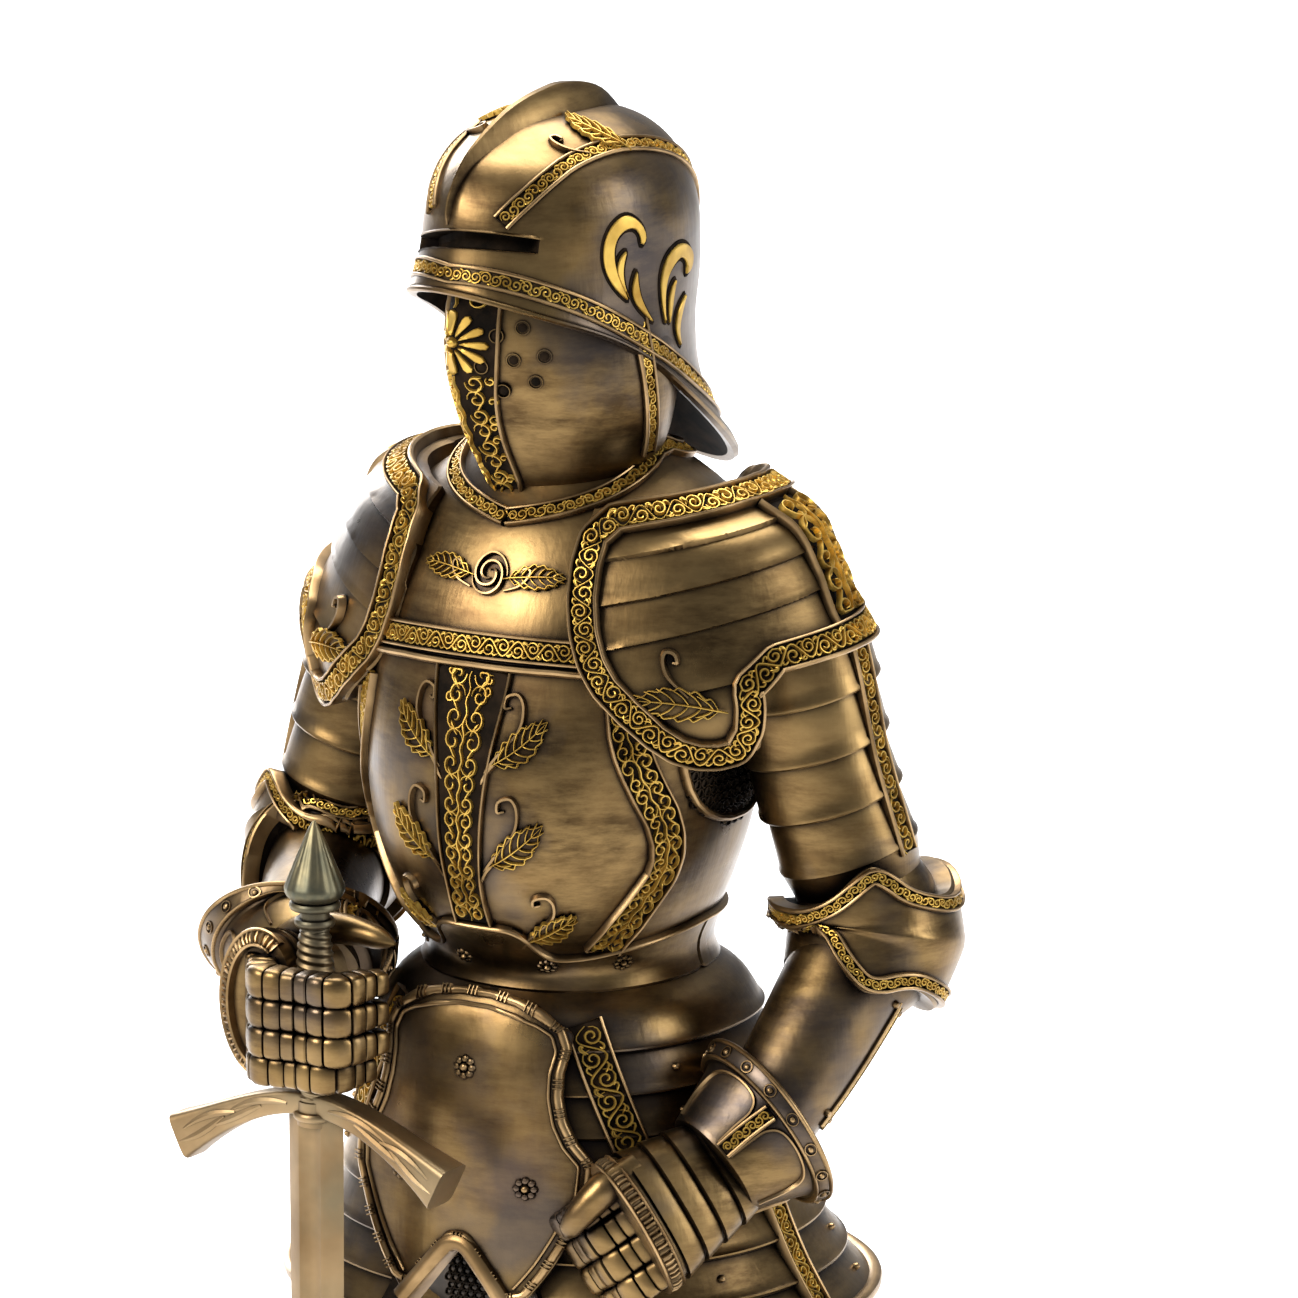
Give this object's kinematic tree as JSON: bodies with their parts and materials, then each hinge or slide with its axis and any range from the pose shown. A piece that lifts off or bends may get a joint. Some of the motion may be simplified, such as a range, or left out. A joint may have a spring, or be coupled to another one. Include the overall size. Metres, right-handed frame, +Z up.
{
  "type": "knight statuette",
  "caption": "Standing figure of a knight in decorated plate armour, one hand on an upright sword, on a low round plinth; cast in bronze-finished resin.",
  "frame": {"origin": "centre of the plinth's underside", "axes": "+Z up, the knight faces -Y, and +X is towards the knight's left hand"},
  "size_m": [0.132, 0.132, 0.364],
  "materials": {
    "bronze_finish": "antique bronze, worn, with gilt ornament over a dark ground",
    "sword_finish": "dull sandy bronze with grey-green patina",
    "plinth_finish": "dark patinated bronze finish"
  },
  "bodies": {
    "root": {"knight_figure": "bronze_finish", "sword": "sword_finish", "plinth": "plinth_finish"}
  },
  "joints": []
}
